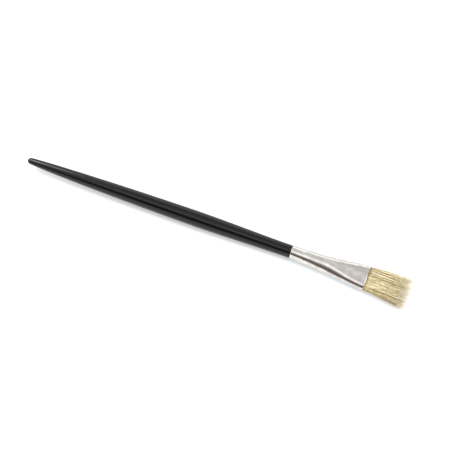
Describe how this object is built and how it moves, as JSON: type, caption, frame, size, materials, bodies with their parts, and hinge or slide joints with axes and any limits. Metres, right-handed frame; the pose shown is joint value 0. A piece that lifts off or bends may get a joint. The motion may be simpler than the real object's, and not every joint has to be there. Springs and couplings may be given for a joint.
{
  "type": "pastry brush",
  "caption": "Long-handled flat pastry brush: turned lacquered wooden handle, seamless metal ferrule going from round to flat, and a flexing tuft of natural bristle.",
  "frame": {"origin": "under the middle of the brush: middle of the bounding box across and along, level with the lowest point of the handle belly", "axes": "+X along the brush from the tail of the handle to the bristle tips, +Y across the flat width, +Z through the thin direction; right-handed"},
  "size_m": [0.298, 0.0226, 0.0117],
  "materials": {
    "black_lacquer": "black lacquer over turned wood, satin gloss; the species isn't visible",
    "bright_nickel": "bright plated metal tube, assumed nickel, lightly smudged",
    "hide_glue": "set glue, amber; inside the joint, not visible, assumed",
    "setting_resin": "cured bristle setting resin, dark brown; inside the ferrule, not visible, assumed",
    "hog_bristle": "natural cream hog bristle with flagged tips"
  },
  "bodies": {
    "handle_and_ferrule": {"handle": "black_lacquer", "ferrule": "bright_nickel", "tenon_glue_sleeve": "hide_glue", "setting_resin": "setting_resin", "bristle_roots": "hog_bristle"},
    "tuft": {"bristles_lower_right_edge": "hog_bristle", "bristles_lower_right": "hog_bristle", "bristles_lower_middle": "hog_bristle", "bristles_lower_left": "hog_bristle", "bristles_lower_left_edge": "hog_bristle", "bristles_core_right_edge": "hog_bristle", "bristles_core_right": "hog_bristle", "bristles_core_middle": "hog_bristle", "bristles_core_left": "hog_bristle", "bristles_core_left_edge": "hog_bristle", "bristles_upper_right_edge": "hog_bristle", "bristles_upper_right": "hog_bristle", "bristles_upper_middle": "hog_bristle", "bristles_upper_left": "hog_bristle", "bristles_upper_left_edge": "hog_bristle"}
  },
  "joints": [
    {"name": "tuft_flex", "type": "hinge", "parent": "handle_and_ferrule", "child": "tuft", "pos_m": [0.1198, 0, 0.00585], "axis": [0, 1, 0], "range_deg": [-40, 40], "stiffness_Nm_per_rad": 0.05}
  ]
}
